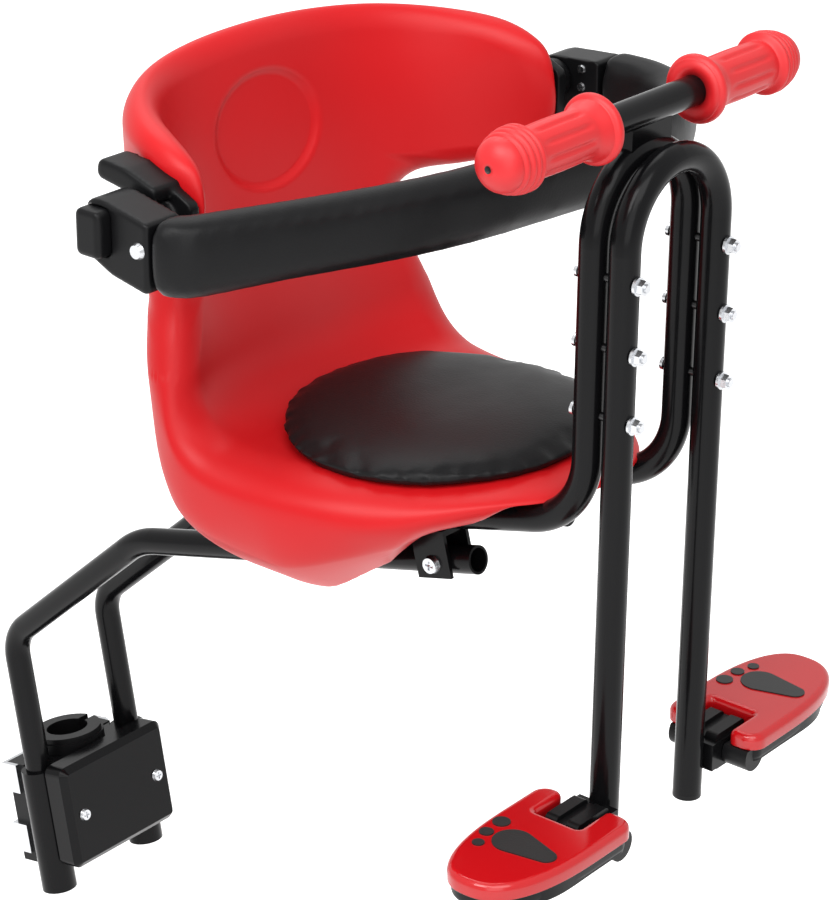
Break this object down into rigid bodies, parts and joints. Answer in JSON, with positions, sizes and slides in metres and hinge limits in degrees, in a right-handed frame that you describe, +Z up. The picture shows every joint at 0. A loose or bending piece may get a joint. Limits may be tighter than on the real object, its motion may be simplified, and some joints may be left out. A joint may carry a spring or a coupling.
{
  "type": "child bicycle seat",
  "caption": "Child's bicycle seat: bucket shell and cushion on a tube frame that clamps to the seat post, with a lift-up padded guard, own handlebar and fold-up foot rests.",
  "frame": {"origin": "on the seat post's axis, at mid height of the clamp's bush", "axes": "+Z up along the front legs, -Y the way the bicycle travels, +X towards the child's left"},
  "size_m": [0.4545, 0.5758, 0.6901],
  "materials": {
    "red_shell": "soft satin",
    "cushion_cover": "smooth padded",
    "guard_cover": "smooth padded",
    "black_paint": "gloss",
    "black_plastic": "satin",
    "zinc": "bright zinc",
    "red_grip": "satin",
    "red_tread": "satin",
    "tread_marks": "matt"
  },
  "bodies": {
    "base": {"arch_bolts": "zinc", "arch_nuts": "zinc", "clamp_body": "black_paint", "clamp_bush": "black_plastic", "clamp_collar": "black_plastic", "clamp_cover": "black_paint", "clamp_sleeve_left": "black_paint", "clamp_sleeve_right": "black_paint", "cover_screws": "zinc", "frame_arch": "black_paint", "grip_left": "red_grip", "grip_right": "red_grip", "guard_bracket_left": "black_plastic", "guard_bracket_right": "black_plastic", "handlebar_saddle": "black_paint", "handlebar_tube": "black_paint", "jaw_bolts": "zinc", "jaw_nuts": "zinc", "jaw_strap_lower": "zinc", "jaw_strap_upper": "zinc", "leg_arch": "black_paint", "leg_plugs": "black_plastic", "mount_tube_left": "black_paint", "mount_tube_right": "black_paint", "pedal_bracket_left": "black_paint", "pedal_bracket_right": "black_paint", "pedal_knuckle_left": "black_plastic", "pedal_knuckle_right": "black_plastic", "pedal_pin_left": "zinc", "pedal_pin_right": "zinc", "pivot_pins": "zinc", "rail_bolts": "zinc", "rail_bracket_front_left": "black_paint", "rail_bracket_front_right": "black_paint", "rail_bracket_rear_left": "black_paint", "rail_bracket_rear_right": "black_paint", "rail_nuts": "zinc", "rear_jaw": "black_plastic", "seat_cushion": "cushion_cover", "seat_plate": "black_paint", "seat_screws": "zinc", "seat_shell": "red_shell"},
    "guard": {"guard_pad": "guard_cover", "guard_core": "black_paint", "guard_housing_right": "black_plastic", "guard_housing_left": "black_plastic", "guard_screws": "zinc"},
    "latch": {"latch_button": "black_plastic"},
    "footrest_right": {"pedal_top_right": "red_tread", "pedal_base_right": "black_plastic", "pedal_marks_right": "tread_marks"},
    "footrest_left": {"pedal_top_left": "red_tread", "pedal_base_left": "black_plastic", "pedal_marks_left": "tread_marks"}
  },
  "joints": [
    {"name": "guard_lift", "type": "hinge", "parent": "base", "child": "guard", "pos_m": [0, -0.2733, 0.53935], "axis": [-1, 0, 0], "range_deg": [0, 100]},
    {"name": "latch_press", "type": "slide", "parent": "guard", "child": "latch", "axis": [1, 0, 0], "range_m": [0, 0.004], "stiffness_N_per_m": 900},
    {"name": "footrest_fold_right", "type": "hinge", "parent": "base", "child": "footrest_right", "pos_m": [-0.07, -0.5013, 0.182], "axis": [0, 1, 0], "range_deg": [0, 80]},
    {"name": "footrest_fold_left", "type": "hinge", "parent": "base", "child": "footrest_left", "pos_m": [0.07, -0.5013, 0.182], "axis": [0, -1, 0], "range_deg": [0, 80]}
  ]
}
